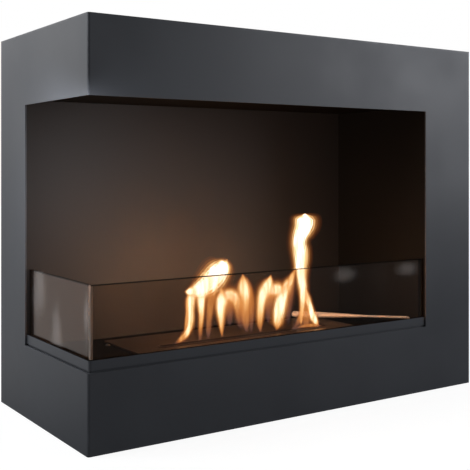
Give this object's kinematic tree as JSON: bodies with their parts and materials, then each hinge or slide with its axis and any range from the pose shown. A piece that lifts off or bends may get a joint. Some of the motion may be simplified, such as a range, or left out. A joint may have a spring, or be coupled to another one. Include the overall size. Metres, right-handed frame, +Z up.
{
  "type": "bioethanol fireplace",
  "caption": "Rectangular sheet-metal bioethanol fireplace, open at the front and left side, with low glass panes, a rimmed tray and a lift-out slot burner with a sliding shutter.",
  "frame": {"origin": "middle of the rectangle that the casing stands on, at its underside", "axes": "+X to the right as seen from the front opening, +Y from the front face to the rear panel, +Z up"},
  "size_m": [0.6, 0.275, 0.48],
  "materials": {
    "casing_paint": "satin graphite powder coat",
    "liner_paint": "matt black heat-resistant paint",
    "burner_paint": "satin dark heat-resistant coating",
    "stainless": "brushed",
    "zinc_sheet": "dull zinc-coated",
    "clear_glass": "polished toughened",
    "ceramic_fibre": "matt fibrous",
    "seat_rubber": "matt"
  },
  "bodies": {
    "casing": {"corner_fascia": "casing_paint", "right_side_panel": "casing_paint", "top_panel": "casing_paint", "base_panel": "casing_paint", "rear_panel": "casing_paint", "rear_screw_1": "zinc_sheet", "rear_screw_2": "zinc_sheet", "rear_screw_3": "zinc_sheet", "rear_screw_4": "zinc_sheet", "rear_screw_5": "zinc_sheet", "rear_screw_6": "zinc_sheet", "liner_ceiling": "liner_paint", "liner_back_wall": "liner_paint", "liner_right_wall": "liner_paint", "tray": "casing_paint", "tray_rail_front": "zinc_sheet", "tray_rail_rear": "zinc_sheet", "tray_rail_left": "zinc_sheet", "tray_rail_right": "zinc_sheet", "glass_seat_front": "seat_rubber", "glass_seat_side": "seat_rubber", "glass_stop_front": "liner_paint", "glass_stop_side": "liner_paint", "glass_holder_right": "liner_paint", "glass_holder_rear": "liner_paint", "tank_hanger_left": "zinc_sheet", "tank_hanger_right": "zinc_sheet", "hanger_screw_1": "zinc_sheet", "hanger_screw_2": "zinc_sheet", "hanger_screw_3": "zinc_sheet", "hanger_screw_4": "zinc_sheet"},
    "front_pane": {"glass_front": "clear_glass"},
    "side_pane": {"glass_side": "clear_glass"},
    "burner_unit": {"burner_plate": "burner_paint", "slot_collar": "stainless", "burner_tank": "stainless", "fibre_block": "ceramic_fibre", "fibre_cover": "stainless", "shutter_guide_left": "zinc_sheet", "shutter_guide_right": "zinc_sheet"},
    "shutter": {"burner_shutter": "stainless"},
    "hook": {"closing_hook": "stainless"}
  },
  "joints": [
    {"name": "front_pane_lift", "type": "slide", "parent": "casing", "child": "front_pane", "axis": [0, 0, 1], "range_m": [0, 0.1]},
    {"name": "side_pane_lift", "type": "slide", "parent": "casing", "child": "side_pane", "axis": [0, 0, 1], "range_m": [0, 0.1]},
    {"name": "burner_lift", "type": "slide", "parent": "casing", "child": "burner_unit", "axis": [0, 0, 1], "range_m": [0, 0.146]},
    {"name": "shutter_slide", "type": "slide", "parent": "burner_unit", "child": "shutter", "axis": [0, -1, 0], "range_m": [0, 0.02]},
    {"name": "hook_lift", "type": "slide", "parent": "burner_unit", "child": "hook", "axis": [0, 0, 1], "range_m": [0, 0.1]}
  ]
}
